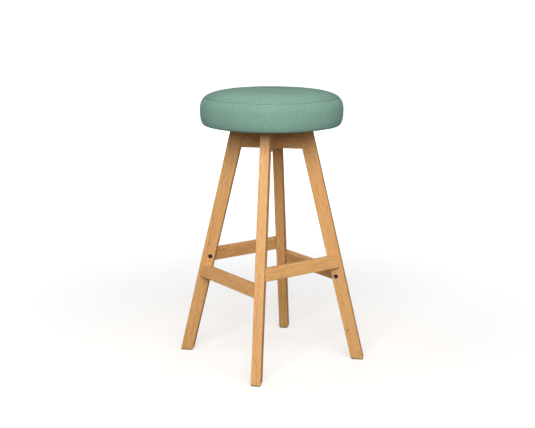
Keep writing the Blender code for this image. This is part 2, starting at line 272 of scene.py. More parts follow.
def beam(name, radius, half_a, half_b, start, end, place, rows=36, seed=1, stations=()):
    """A squared piece of wood with every arris rounded. A rounded rectangle of half widths half_a and
    half_b (numbers, or functions of the share of the way along) is carried from start(a, b) to
    end(a, b), the slanted ends, and place(a, b, length) gives the point in space. Rows beside each end
    follow a quarter circle, so the end is rounded as the sides are, and the rounding swells and thins a
    little along the piece, as hand sanding leaves it."""
    sign_a, inset_a, sign_b, inset_b = (row[None, :] for row in rounded_section(radius))
    turn = np.linspace(0, np.pi / 2, 6)[::-1]
    share = np.sort(np.concatenate([np.linspace(0, 1, rows), stations]))
    cap_in = np.concatenate([[radius + 0.0008], radius * (1 - np.cos(turn))])
    cap_along = np.concatenate([[0.0], radius * (1 - np.sin(turn))])
    # Each row: its share of the way, how far the section draws in, and its distance from its end.
    row_share = np.concatenate([cap_in * 0, share, cap_in * 0 + 1])[:, None]
    draw_in = np.concatenate([cap_in, share * 0, cap_in[::-1]])[:, None]
    from_end = np.concatenate([cap_along, radius + share * 0, cap_along[::-1]])[:, None]
    from_end = from_end * np.where(row_share < 0.5, 1.0, -1.0)
    is_cap = np.concatenate([cap_in * 0 + 1, share * 0, cap_in * 0 + 1])[:, None] > 0
    wave = 0.16 * ripple(row_share * 2 * np.pi + sign_a + 2 * sign_b, 2, 7, seed, 5)

    def half_way(sign, inset, half):
        width = half(row_share) if callable(half) else half
        worn = np.minimum(inset, radius) * wave
        return sign * (width - np.maximum(inset + worn, 0) - draw_in)

    a, b = half_way(sign_a, inset_a, half_a), half_way(sign_b, inset_b, half_b)
    first, last = start(a, b), end(a, b)
    between = first + radius + (last - first - 2 * radius) * row_share
    length = np.where(is_cap, np.where(row_share < 0.5, first, last) + from_end, between)
    return surface(name, place(a, b, length), caps=True)


def cut(target, cutters):
    """Takes the cutters' shapes out of the target and keeps the result as its mesh."""
    for cutter in cutters:
        step = target.modifiers.new("Bore", "BOOLEAN")
        step.operation = "DIFFERENCE"
        step.solver = "EXACT"
        step.object = cutter
    settle(target)
    for cutter in cutters:
        bpy.data.objects.remove(cutter, do_unlink=True)
    soften(target.data)


def settle(target):
    """Makes what the modifiers show the object's own mesh."""
    bpy.context.view_layer.update()
    graph = bpy.context.evaluated_depsgraph_get()
    made = bpy.data.meshes.new_from_object(target.evaluated_get(graph))
    target.modifiers.clear()
    target.data = made
    made.name = target.name


def grain(target, along, across, seed, pith):
    """Stores where each point lies in the plank it was sawn from: across the plank, through it and along
    it, in metres, measured from the pith. The plank leans a little against the piece, so growth rings
    run out of its faces in long arches."""
    chance = np.random.default_rng(seed)
    along = np.array(along, float) / np.linalg.norm(along)
    across = np.array(across, float) - np.dot(across, along) * along
    across /= np.linalg.norm(across)
    through = np.cross(along, across)
    tilt = chance.uniform(-0.02, 0.02, 2)
    leaning = along + tilt[0] * across + tilt[1] * through
    points = points_of(target.data)
    where = points - points.mean(axis=0)
    turned_by = chance.uniform(-0.5, 0.5)
    a, b, c = where @ across, where @ through, where @ leaning
    a, b = a - tilt[0] * c, b - tilt[1] * c
    u = a * math.cos(turned_by) - b * math.sin(turned_by) + pith[0]
    v = a * math.sin(turned_by) + b * math.cos(turned_by) + pith[1]
    held = np.stack([u, v, c + chance.uniform(2, 40)], axis=1)
    layer = target.data.attributes.new("grain", "FLOAT_VECTOR", "POINT")
    layer.data.foreach_set("vector", held.astype(np.float32).ravel())


def dress(target, material, node):
    """Gives a finished piece its material, attaches it to the root body and hides the node that it stands in
    for.
    """
    target.data.materials.clear()
    target.data.materials.append(material)
    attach(target, "root")
    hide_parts(node)


def node_points(name):
    return points_of(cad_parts[name].data)


def level_cut(name, height):
    """Where a level plane crosses the node's edges, as points."""
    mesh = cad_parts[name].data
    points = node_points(name)
    edges = rows_of(mesh.edges, "vertices", 2, np.int32)
    low, high = points[edges].transpose(1, 0, 2)
    crosses = (low[:, 2] - height) * (high[:, 2] - height) < 0
    low, high = low[crosses], high[crosses]
    part = (height - low[:, 2]) / (high[:, 2] - low[:, 2])
    return low + (high - low) * part[:, None]


def taper(name, toward, share_low=0.12, share_high=0.72):
    """Two straight lines, (at the floor, per metre up), for the inner and the outer face of a node
    along a direction, from two level cuts."""
    lowest, highest = (corner.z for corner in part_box(name))
    heights = [lowest + (highest - lowest) * s for s in (share_low, share_high)]
    reaches = [level_cut(name, height) @ toward for height in heights]
    lines = []
    for pick in (np.min, np.max):
        below, above = pick(reaches[0]), pick(reaches[1])
        slope = (above - below) / (heights[1] - heights[0])
        lines.append((below - slope * heights[0], slope))
    return lines


def box_of(name):
    low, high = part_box(name)
    return np.array(low), np.array(high)


# ---------------------------------------------------------------- materials


class Recipe:
    """Short words for the nodes of one material."""

    def __init__(self, name):
        self.material = bpy.data.materials.new(name)
        self.material.use_nodes = True
        self.tree = self.material.node_tree
        self.shader = self.tree.nodes["Principled BSDF"]

    def node(self, kind, settings=(), **inputs):
        made = self.tree.nodes.new(kind)
        for key, value in dict(settings).items():
            setattr(made, key, value)
        for key, value in inputs.items():
            self.give(made.inputs[key.replace("_", " ")], value)
        return made

    def give(self, socket, value):
        if isinstance(value, bpy.types.NodeSocket):
            self.tree.links.new(value, socket)
        elif isinstance(value, (tuple, list)) and len(value) == 3 and socket.type == "RGBA":
            socket.default_value = (*value, 1.0)
        else:
            socket.default_value = value

    def place(self, layer=None):
        """Object coordinates, or the piece's own layer."""
        if layer:
            return self.node("ShaderNodeAttribute", {"attribute_name": layer}).outputs["Vector"]
        return self.node("ShaderNodeTexCoord").outputs["Object"]

    def scaled(self, vector, scale):
        return self.node("ShaderNodeMapping", Vector=vector, Scale=scale).outputs["Vector"]

    def noise(self, vector, scale=1.0, detail=2.0, roughness=0.5, out="Fac"):
        found = self.node(
            "ShaderNodeTexNoise", Vector=vector, Scale=scale, Detail=detail, Roughness=roughness
        )
        return found.outputs[out]

    def cells(self, vector, scale=1.0):
        return self.node("ShaderNodeTexVoronoi", Vector=vector, Scale=scale).outputs["Distance"]

    def math(self, operation, a, b=0.0):
        made = self.node("ShaderNodeMath", {"operation": operation})
        self.give(made.inputs[0], a)
        self.give(made.inputs[1], b)
        return made.outputs[0]

    def times(self, a, b):
        return self.math("MULTIPLY", a, b)

    def plus(self, a, b):
        return self.math("ADD", a, b)

    def vector(self, operation, a, b=(0, 0, 0)):
        made = self.node("ShaderNodeVectorMath", {"operation": operation})
        self.give(made.inputs[0], a)
        self.give(made.inputs[1], b)
        return made.outputs["Value" if operation == "LENGTH" else "Vector"]

    def shifted(self, vector, noise, reach):
        """The vector, moved by a noise's colour less a half, times the reach."""
        drift = self.vector("SUBTRACT", noise, (0.5, 0.5, 0.5))
        return self.vector("ADD", vector, self.vector("MULTIPLY", drift, reach))

    def spread(self, value, low, high, to_low=0.0, to_high=1.0):
        """The value, carried smoothly from low and high to to_low and to_high."""
        ends = {"From_Min": low, "From_Max": high, "To_Min": to_low, "To_Max": to_high}
        made = self.node("ShaderNodeMapRange", {"interpolation_type": "SMOOTHSTEP"}, Value=value, **ends)
        return made.outputs["Result"]

    def ramp(self, value, stops):
        made = self.node("ShaderNodeValToRGB", Fac=value)
        line = made.color_ramp
        while len(line.elements) < len(stops):
            line.elements.new(0.5)
        for element, (position, shade) in zip(line.elements, stops):
            element.position = position
            element.color = (*shade, 1.0) if isinstance(shade, (tuple, list)) else (shade, shade, shade, 1.0)
        return made.outputs["Color"]

    def mix(self, amount, a, b, kind="MIX"):
        made = self.node("ShaderNodeMix", {"data_type": "RGBA", "blend_type": kind})
        self.give(made.inputs[0], amount)
        self.give(made.inputs[6], a)
        self.give(made.inputs[7], b)
        return made.outputs[2]

    def toned(self, amount, base, value, stops):
        """The base, made lighter and darker by a ramp of the value."""
        return self.mix(amount, base, self.ramp(value, stops), "OVERLAY")

    def bump(self, height, strength, distance):
        made = self.node("ShaderNodeBump", Strength=strength, Distance=distance, Height=height)
        self.tree.links.new(made.outputs["Normal"], self.shader.inputs["Normal"])

    def finish(self, **inputs):
        for key, value in inputs.items():
            self.give(self.shader.inputs[key.replace("_", " ")], value)
        return self.material


def oak(name, wood):
    """Oiled oak. Growth rings are the distance from the pith, bent by slow noise; open pores are long
    thin cells kept to the early wood; fibres are noise drawn out along the plank."""
    r = Recipe(name)
    plank = r.place("grain")
    drift = r.noise(r.scaled(plank, (9, 9, 2.6)), out="Color")
    bent = r.shifted(plank, drift, (0.016, 0.016, 0.0))
    reach = r.vector("LENGTH", r.vector("MULTIPLY", bent, (1, 1, 0)))
    year = r.math("FRACT", r.times(reach, 1.0 / wood.ring_spacing))
    early = r.ramp(year, [(0.0, 0.75), (0.16, 1.0), (0.42, 0.25), (0.80, 0.0), (1.0, 0.72)])
    strength = r.spread(r.noise(r.scaled(plank, (16, 16, 1.6))), 0.3, 0.7, 0.25, 0.95)
    early = r.times(early, r.times(strength, 0.62))
    base = r.mix(early, tuple(wood.light), tuple(wood.dark))
    streak = r.noise(r.scaled(plank, (210, 210, 4.5)), detail=3, roughness=0.6)
    base = r.toned(0.38, base, streak, [(0.28, 0.36), (0.5, 0.5), (0.72, 0.62)])
    slow = r.noise(r.scaled(plank, (22, 22, 3.0)), detail=2)
    base = r.toned(0.55, base, slow, [(0.3, (0.53, 0.51, 0.50)), (0.7, (0.46, 0.465, 0.45))])
    dash = r.noise(r.scaled(plank, (440, 440, 46)), detail=4, roughness=0.7)
    base = r.toned(1.0, base, dash, [(0.3, (0.36, 0.33, 0.30)), (0.5, 0.51), (0.7, 0.61)])
    fibre = r.noise(r.scaled(plank, (1700, 1700, 42)), detail=2)
    base = r.toned(0.45, base, fibre, [(0.3, 0.38), (0.7, 0.6)])
    pores = r.cells(r.scaled(plank, (1500, 1500, 95)))
    gate = r.noise(r.scaled(plank, (520, 520, 30)), detail=1)
    open_pore = r.times(r.spread(pores, 0.34, 0.16), r.spread(gate, 0.44, 0.62))
    open_pore = r.times(open_pore, r.spread(early, 0.05, 0.7, 0.22, 1.0))
    base = r.mix(r.times(open_pore, 0.62), base, tuple(wood.pore))
    spot = r.shifted(r.place(), drift, (0.004, 0.004, 0.004))
    for knot_at in PIN_KNOTS:
        away = r.vector("LENGTH", r.vector("SUBTRACT", spot, knot_at))
        base = r.mix(r.spread(away, 0.0052, 0.0012, 0.0, 0.62), base, KNOT_COLOUR)
    height = r.plus(r.times(fibre, 0.35), r.times(early, -0.25))
    r.bump(r.plus(height, r.times(open_pore, -0.9)), 0.28, 0.0003)
    rough = r.plus(r.times(open_pore, 0.2), r.spread(slow, 0.3, 0.7, 0.46, 0.56))
    return r.finish(Base_Color=base, Roughness=rough, Specular_IOR_Level=0.42)


def felt(name, seat):
    """Milled wool. Fibres lie every way, so the shade is noise at three sizes; a soft nap catches light
    at a glancing angle."""
    r = Recipe(name)
    spot = r.place()
    hair_place = r.shifted(spot, r.noise(spot, 350, 2, out="Color"), (0.003, 0.003, 0.003))
    hair = r.noise(hair_place, 2600, 3, 0.65)
    tuft = r.noise(spot, 620, 3, 0.6)
    cloud = r.noise(spot, 290, 2, 0.55)
    patch = r.noise(spot, 14, 2, 0.5)
    depth = r.plus(r.times(hair, 0.40), r.times(tuft, 0.60))
    shade = r.mix(r.spread(depth, 0.34, 0.66), tuple(seat.dark), tuple(seat.light))
    shade = r.toned(0.5, shade, cloud, [(0.3, 0.40), (0.7, 0.60)])
    shade = r.toned(0.35, shade, patch, [(0.3, 0.46), (0.7, 0.54)])
    r.bump(r.plus(depth, r.times(cloud, 0.5)), 0.45, 0.0006)
    nap = {"Sheen_Weight": 0.02, "Sheen_Roughness": 0.45, "Sheen_Tint": (0.80, 0.95, 0.88, 1.0)}
    return r.finish(
        Base_Color=shade, Roughness=0.95, Diffuse_Roughness=0.12, Specular_IOR_Level=0.05, **nap
    )


def brushed_metal(name, tint, dull, roughness, metallic, scale=900):
    """Plated or blackened steel: fine mottling with faint turning marks and duller patches."""
    r = Recipe(name)
    spot = r.place()
    fine = r.noise(spot, scale, 3, 0.6)
    broad = r.noise(spot, scale / 8, 2, 0.5)
    base = r.mix(r.spread(broad, 0.35, 0.68), tint, dull)
    base = r.toned(0.25, base, fine, [(0.3, 0.4), (0.7, 0.6)])
    rough = r.spread(fine, 0.3, 0.7, roughness - 0.06, roughness + 0.06)
    r.bump(fine, 0.12, 0.0001)
    return r.finish(Base_Color=base, Roughness=r.plus(rough, r.times(broad, 0.06)), Metallic=metallic)


def grained_plastic(name, tint, dull, roughness):
    """Moulded plastic with a fine pebbled skin."""
    r = Recipe(name)
    spot = r.place()
    pebble = r.cells(spot, 2200)
    broad = r.noise(spot, 120, 2)
    base = r.mix(r.spread(broad, 0.35, 0.65), tint, dull)
    r.bump(pebble, 0.2, 0.0001)
    rough = r.spread(broad, 0.3, 0.7, roughness - 0.05, roughness + 0.05)
    return r.finish(Base_Color=base, Roughness=rough)


def plywood(name):
    """Birch plywood: thin level plies, every other one end grain, with pale figure on the faces."""
    r = Recipe(name)
    spot = r.place()
    level = r.node("ShaderNodeSeparateXYZ", Vector=spot).outputs["Z"]
    ply = r.math("FRACT", r.times(level, 1.0 / 0.0030))
    line = r.ramp(ply, [(0.0, 0.0), (0.06, 1.0), (0.48, 1.0), (0.52, 0.55), (0.94, 0.55), (1.0, 0.0)])
    figure = r.noise(r.scaled(spot, (60, 5, 60)), detail=3)
    face = r.ramp(figure, [(0.3, (0.60, 0.42, 0.24)), (0.7, (0.74, 0.56, 0.36))])
    base = r.mix(r.times(r.math("SUBTRACT", 1.0, line), 0.55), face, (0.33, 0.19, 0.09))
    r.bump(figure, 0.15, 0.0004)
    return r.finish(Base_Color=base, Roughness=0.68)


def beech(name):
    """Beech: pale, with short darker flecks along the dowel and fine straight grain."""
    r = Recipe(name)
    spot = r.place()
    fleck = r.cells(spot, 700)
    figure = r.noise(spot, 260, 3)
    base = r.ramp(figure, [(0.3, (0.55, 0.36, 0.20)), (0.7, (0.68, 0.48, 0.29))])
    base = r.mix(r.times(r.spread(fleck, 0.3, 0.1), 0.5), base, (0.36, 0.20, 0.09))
    r.bump(figure, 0.15, 0.0003)
    return r.finish(Base_Color=base, Roughness=0.62)


def open_foam(name):
    """Open-cell foam: a crowd of small round cells, with painted shade in their pits."""
    r = Recipe(name)
    spot = r.place()
    cell = r.cells(spot, 900)
    # Painted shade: each cell darkens towards its sunken middle, the pit that the bump makes.
    base = r.mix(r.spread(cell, 0.1, 0.6), (0.62, 0.56, 0.40), (0.80, 0.75, 0.60))
    base = r.toned(0.4, base, r.noise(spot, 30, 2), [(0.3, 0.44), (0.7, 0.55)])
    r.bump(cell, 0.5, 0.0006)
    return r.finish(Base_Color=base, Roughness=0.95)


def lining_cloth(name):
    """Spun black lining: matted fibres pressed flat, with a grid of small weld dots."""
    r = Recipe(name)
    spot = r.place()
    fibre = r.noise(spot, 1500, 3, 0.7)
    dots = r.cells(r.scaled(spot, (1, 1, 0)), 420)
    base = r.mix(r.spread(fibre, 0.35, 0.65), (0.012, 0.012, 0.013), (0.035, 0.035, 0.037))
    base = r.mix(r.times(r.spread(dots, 0.25, 0.12), 0.6), base, (0.008, 0.008, 0.008))
    r.bump(r.math("SUBTRACT", fibre, r.spread(dots, 0.3, 0.1)), 0.4, 0.0003)
    return r.finish(Base_Color=base, Roughness=0.93)


def shared(make, name, *values):
    """The material of that name, made when it is first asked for."""
    return bpy.data.materials.get(name) or make(name, *values)


def oak_of(context):
    return shared(oak, "oiled_oak", context.scene.stool_wood)


def black_steel():
    tints = (0.020, 0.023, 0.029), (0.036, 0.039, 0.047)
    return shared(brushed_metal, "blackened_steel_oiled", *tints, 0.42, 0.35)


def zinc():
    tints = (0.52, 0.53, 0.55), (0.40, 0.41, 0.42)
    return shared(brushed_metal, "zinc_plate", *tints, 0.34, 1.0)


# ---------------------------------------------------------------- oak


def nodes_called(start, end=""):
    """The names of the nodes that start and end so."""
    return [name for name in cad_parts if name.startswith(start) and name.endswith(end)]


def bolt_axis(name):
    """(start, axis, length, head radius) of a bolt node: start is the middle of its head's outer face,
    and the axis runs from there towards the point."""
    low, high = box_of(name)
    middle, sides = (low + high) / 2, high - low
    axis = UP
    if not name.startswith("seat_bolt"):
        rail = "footrest_" + name[len("bolt_") : name.index("_at_")]
        toward = np.mean(box_of(rail), axis=0) - middle
        along = (sides == sides.max()).astype(float)
        axis = along * np.sign(toward @ along)
    length = sides @ np.abs(axis)
    return middle - axis * length / 2, axis, length, sides.min() / 2


def bolt_bore(name):
    """A cutter for a bolt's stepped hole: wide from outside the face to under the head, narrow beyond."""
    start, axis, length, head = bolt_axis(name)
    wide, narrow = head + CLEARANCE, SHANK + CLEARANCE
    floor, end = HEAD_DEPTH + CLEARANCE, length + OVER
    profile = [(0, -OVER), (wide, -OVER), (wide, floor), (narrow, floor), (narrow, end), (0, end)]
    return turned("cut_" + name, profile, start, axis)


def plain_bore(name, axis, before=BLIND, beyond=BLIND):
    """A cutter for a straight blind hole round a dowel or an insert."""
    low, high = box_of(name)
    axis = np.abs(axis)
    sides = high - low
    length, radius = sides @ axis, sides.min() / 2 + CLEARANCE
    profile = [(0, -before), (radius, -before), (radius, length + beyond), (0, length + beyond)]
    return turned("cut_" + name, profile, (low + high) / 2 - axis * length / 2, axis)


def finish_oak(context, name, made, cutters, along, across, seed, pith):
    """Cuts a wooden piece's holes, gives it its grain and puts it in its node's place."""
    cut(made, cutters)
    grain(made, along, across, seed, pith)
    dress(made, oak_of(context), name)


class STOOL_OT_legs(bpy.types.Operator):
    """Four tapered oak legs, leaning outwards, with counterbored bolt holes"""

    bl_idname = "stool.legs"
    bl_label = "Legs"

    def execute(self, context):
        for order, leg in enumerate(LEGS):
            make_leg(context, order, leg)
        return {"FINISHED"}


def make_leg(context, order, leg):
    """One leg. At each height its middle and its half width lie on straight lines, half the sum and
    half the difference of its inner and outer faces."""
    name = "leg_" + leg
    out = direction(LEGS[leg])
    side = np.cross(UP, out)
    low, high = box_of(name)
    (inner, inner_lean), (outer, outer_lean) = taper(name, out)
    half = ((high - low) @ np.abs(side)) / 2

    def half_width(share):
        z = low[2] + share * (high[2] - low[2])
        return (outer + outer_lean * z - inner - inner_lean * z) / 2

    def place(a, b, z):
        reach = (inner + inner_lean * z + outer + outer_lean * z) / 2
        return (reach + a)[..., None] * out + b[..., None] * side + z[..., None] * UP

    ends = level_end(low[2]), level_end(high[2])
    arris = context.scene.stool_wood.arris
    made = beam(name + "_oak", arris, half_width, half, *ends, place, rows=44, seed=order + 3)
    cutters = [bolt_bore(bolt) for bolt in nodes_called("bolt_", "_at_" + leg)]
    cutters += [plain_bore(dowel, out) for dowel in nodes_called("dowel_" + leg)]
    line = out * (inner_lean + outer_lean) / 2 + UP
    finish_oak(context, name, made, cutters, line, side, 11 + order * 7, LEG_PITH[order])


class STOOL_OT_cross_rails(bpy.types.Operator):
    """Two oak rails that join the legs under the seat, halved over each other at the middle"""

    bl_idname = "stool.cross_rails"
    bl_label = "Cross rails"

    def execute(self, context):
        make_cross_rail(context, 0, "cross_rail_left_right", ("right", "left"), 0.85)
        make_cross_rail(context, 1, "cross_rail_front_back", ("back", "front"), 0.4)
        return {"FINISHED"}


def make_cross_rail(context, order, name, ends, share_high):
    """One cross rail, between slanted ends. Inside the half lap the section is squeezed to its upper or
    its lower half."""
    along = direction(LEGS[ends[0]])
    side = np.cross(UP, along)
    low, high = box_of(name)
    half = ((high - low) @ np.abs(side)) / 2
    middle, tall = (low[2] + high[2]) / 2, (high[2] - low[2]) / 2
    (_, _), (end, end_lean) = taper(name, along, 0.15, share_high)
    joint, step = half + CLEARANCE, 4e-5
    # The notch opens downwards where the rail has wood missing at its middle, low down.
    low_cut = level_cut(name, low[2] + 0.2 * tall) @ along
    away = 1 if (np.abs(low_cut) < 0.02).any() else -1

    def reach(b):
        return end + end_lean * (middle + b)

    def place(a, b, length):
        lap = (b + away * tall) / 2 + away * CLEARANCE / 2
        b = np.where(np.abs(length) < joint + step / 2, lap, b)
        return length[..., None] * along + a[..., None] * side + (middle + b)[..., None] * UP

    stations = 0.5 + np.array([-joint - step, -joint, joint, joint + step]) / (2 * reach(0))
    made = beam(
        name + "_oak",
        context.scene.stool_wood.arris,
        half,
        tall,
        lambda a, b: -reach(b),
        lambda a, b: reach(b),
        place,
        rows=24,
        seed=order + 20,
        stations=stations,
    )
    cutters = []
    for leg in ends:
        cutters += [plain_bore(dowel, along) for dowel in nodes_called("dowel_" + leg)]
        cutters.append(bolt_bore("seat_bolt_" + leg))
    finish_oak(context, name, made, cutters, along, side, 61 + order * 5, CROSS_RAIL_PITH)


class STOOL_OT_footrests(bpy.types.Operator):
    """Four oak footrest rails between neighbouring legs, leaning with them and mitred to their faces"""

    bl_idname = "stool.footrests"
    bl_label = "Footrest rails"

    def execute(self, context):
        for order, rail in enumerate(FOOTRESTS):
            make_footrest(context, order, rail)
        return {"FINISHED"}


def make_footrest(context, order, rail):
    """One footrest rail, tilted as its legs lean. Its ends stop at the legs' upright side faces, which
    it meets at 45 degrees."""
    name = "footrest_" + rail
    (_, _), (_, lean) = taper("leg_right", direction(0))
    tilt = math.atan(-lean / math.sqrt(2))
    out = direction(FOOTRESTS[rail])
    along = np.cross(UP, out)
    facing = out * math.cos(tilt) + UP * math.sin(tilt)
    up = UP * math.cos(tilt) - out * math.sin(tilt)
    points = node_points(name)
    across, rising = points @ facing, points @ up
    half_a, half_b = np.ptp(across) / 2, np.ptp(rising) / 2
    centre = facing * (across.max() + across.min()) / 2 + up * (rising.max() + rising.min()) / 2
    face = np.min(np.abs(np.stack(box_of(name))[:, :2]), axis=0).mean() * math.sqrt(2)

    def end(a, b):
        return centre @ out + a * (facing @ out) + b * (up @ out) - face

    def place(a, b, length):
        return centre + a[..., None] * facing + b[..., None] * up + length[..., None] * along

    arris = context.scene.stool_wood.arris
    made = beam(
        name + "_oak", arris, half_a, half_b, lambda a, b: -end(a, b), end, place, rows=30, seed=order + 40
    )
    cutters = [insert_bore(name, insert) for insert in nodes_called("insert_" + rail + "_at_")]
    finish_oak(context, name, made, cutters, along, up, 91 + order * 9, FOOTREST_PITH[order])


def insert_bore(rail, insert, mouth=0.006):
    """A cutter for an insert's hole, which comes out of the rail's end and stops in its wood."""
    bore = np.cross(UP, direction(LEGS[insert.split("_at_")[1]]))
    inwards = np.mean(box_of(rail), axis=0) - np.mean(box_of(insert), axis=0)
    before, beyond = (mouth, BLIND) if inwards @ np.abs(bore) > 0 else (BLIND, mouth)
    return plain_bore(insert, bore, before, beyond)


# ---------------------------------------------------------------- fixings


def socket_bolt(name, node, material, rim=0.0009, dome_rise=0.0007, pitch=0.001, groove=0.00028):
    """A flat-headed bolt with a hexagonal key hole: the head's profile is a low dome, the square of the
    way out, with a quarter circle at its edge; the key hole's reach is half the key over the cosine of
    the angle from the nearest flat; and the shank's reach rises and falls once a pitch along a helix,
    which is its thread."""
    start, axis, length, head = bolt_axis(node)
    hole = HEX_KEY / 2 * 1.02
    lip = hole + 0.0004
    profile = [(0, HEX_DEPTH + 0.0004), (hole * 0.55, HEX_DEPTH), (hole, HEX_DEPTH), (hole, 0.0003)]
    hex_rows = len(profile)
    profile += [(hole + 0.0003, 0.00005)]
    profile += [(lip + (head - rim - lip) * s, dome_rise * s**2) for s in np.linspace(0, 1, 7)]
    turn = np.linspace(0, np.pi / 2, 7)[1:]
    profile += [(head - rim + rim * math.sin(t), dome_rise + rim * (1 - math.cos(t))) for t in turn]
    profile += [(head, HEAD_DEPTH - 0.0002), (head - 0.0002, HEAD_DEPTH), (SHANK + 0.0002, HEAD_DEPTH)]
    plain = HEAD_DEPTH + 0.2 * (length - HEAD_DEPTH)
    profile += [(SHANK, HEAD_DEPTH + 0.0003), (SHANK, plain)]
    profile += [(SHANK, s) for s in np.linspace(plain, length - 0.0012, 90)[1:]]
    profile += [(SHANK * 0.75, length), (0, length)]

    def shape(reach, along, angle):
        flats = 1 / np.cos(np.mod(angle, np.pi / 3) - np.pi / 6)
        in_hole = np.arange(reach.size)[:, None] < hex_rows
        threaded = (along > plain) & (reach > SHANK - 0.0001)
        helix = groove * (0.5 - 0.5 * np.cos(2 * np.pi * along / pitch - angle))
        return np.where(in_hole, reach * flats, reach) - np.where(threaded, helix, 0)

    made = turned(name, profile, start, axis, columns=48, shape=shape, sharp=28)
    dress(made, material, node)


def repaint(nodes, material):
    """Puts a material in place of all those that carried-over nodes came with."""
    for node in nodes:
        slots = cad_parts[node].data.materials
        slots.clear()
        slots.append(material)


class STOOL_OT_footrest_bolts(bpy.types.Operator):
    """Eight black socket bolts through the legs and the threaded inserts that they screw into"""

    bl_idname = "stool.footrest_bolts"
    bl_label = "Footrest bolts and inserts"

    def execute(self, context):
        for node in sorted(nodes_called("bolt_")):
            socket_bolt(node + "_steel", node, black_steel())
        repaint(nodes_called("insert_"), zinc())
        return {"FINISHED"}


class STOOL_OT_seat_fixings(bpy.types.Operator):
    """Seat board, its T-nuts, the four bolts from below, and the dowels of the cross rails"""

    bl_idname = "stool.seat_fixings"
    bl_label = "Seat board and fixings"

    def execute(self, context):
        for leg in LEGS:
            socket_bolt("seat_bolt_" + leg + "_steel", "seat_bolt_" + leg, zinc())
        repaint(nodes_called("tnut_"), zinc())
        repaint(nodes_called("dowel_"), shared(beech, "steamed_beech"))
        repaint(["seat_board"], shared(plywood, "birch_plies"))
        return {"FINISHED"}


class STOOL_OT_glides(bpy.types.Operator):
    """Four dark nylon glides under the feet, with a rounded rim"""

    bl_idname = "stool.glides"
    bl_label = "Glides"

    def execute(self, context):
        tints = (0.030, 0.028, 0.027), (0.05, 0.047, 0.045)
        nylon = shared(grained_plastic, "dark_nylon_glide", *tints, 0.5)
        for order, leg in enumerate(LEGS):
            make_glide("glide_" + leg, nylon, 70 + order)
        return {"FINISHED"}


def make_glide(node, nylon, seed):
    """One glide: a low beam that stands upright over the middle of its node."""
    low, high = box_of(node)
    centre, half = (low + high) / 2, (high - low) / 2

    def place(a, b, height):
        return np.stack([centre[0] + a, centre[1] + b, height + a * 0], axis=-1)

    ends = level_end(low[2]), level_end(high[2])
    made = beam(node + "_pad", 0.0006, half[0], half[1], *ends, place, rows=3, seed=seed)
    dress(made, nylon, node)


# ---------------------------------------------------------------- seat


def seat_sizes():
    """The seat's driving sizes, from the boxes of its cover, board and lining."""
    band_low, band_high = box_of("cover_side_band")
    _, top_high = box_of("cover_top_panel")
    board_low, board_high = box_of("seat_board")
    lining_low, lining_high = box_of("dust_cover")
    return {
        "radius": band_high[0],
        "seam_radius": top_high[0],
        "seam": band_high[2],
        "crown": top_high[2],
        "bottom": band_low[2],
        "board_radius": board_high[0],
        "board_bottom": board_low[2],
        "board_top": board_high[2],
        "lining_radius": lining_high[0],
        "lining": (lining_low[2], lining_high[2]),
    }


def crown_height(sizes, reach):
    """The seat's top: its crown, less the rise times a high power of the share of the way out."""
    rise = sizes["crown"] - sizes["seam"]
    return sizes["seam"] + rise * (1 - (reach / sizes["seam_radius"]) ** CROWN_POWER)


def crown_slope(sizes, share):
    """How steeply the seat's top falls at a share of the way out."""
    rise = sizes["crown"] - sizes["seam"]
    return CROWN_POWER * rise / sizes["seam_radius"] * share ** (CROWN_POWER - 1)


def band_line(sizes, count=64, corner_height=0.036, corner_width=0.0112):
    """The side band's outer profile, from the seam down and under: below the seam it fills out quickly
    to its widest, and at the bottom a quarter ellipse turns under onto the flat lip."""
    seam, bottom, radius = sizes["seam"], sizes["bottom"], sizes["radius"]
    s = np.linspace(0, 1, count) ** 1.3
    side = radius - (radius - sizes["seam_radius"]) * (1 - s) ** 3.2
    t = np.linspace(0, np.pi / 2, count // 2)[1:]
    out = np.concatenate([side, radius - corner_width * (1 - np.cos(t))])
    down = seam - (seam - bottom - corner_height) * s
    return out, np.concatenate([down, bottom + corner_height * (1 - np.sin(t))])


def seam_line(sizes):
    """The direction, out and up, halfway between the normals of the two panels where they meet."""
    out, down = band_line(sizes)
    band = np.array([down[0] - down[1], out[1] - out[0]])
    top = np.array([crown_slope(sizes, 1.0), 1.0])
    meet = band / np.linalg.norm(band) + top / np.linalg.norm(top)
    return meet / np.linalg.norm(meet)


def walk(reach, height):
    """How far along the line each of its points is, from the first."""
    return np.concatenate([[0], np.cumsum(np.hypot(np.diff(reach), np.diff(height)))])


class STOOL_OT_foam(bpy.types.Operator):
    """Crowned foam block that wraps over the edge of the seat board, nipped in under the seam"""

    bl_idname = "stool.foam"
    bl_label = "Seat foam"

    def execute(self, context):
        s = seat_sizes()
        seat = context.scene.stool_seat
        made = foam_block(s, seat)
        dress(made, shared(open_foam, "open_cell_foam"), "seat_foam")
        return {"FINISHED"}


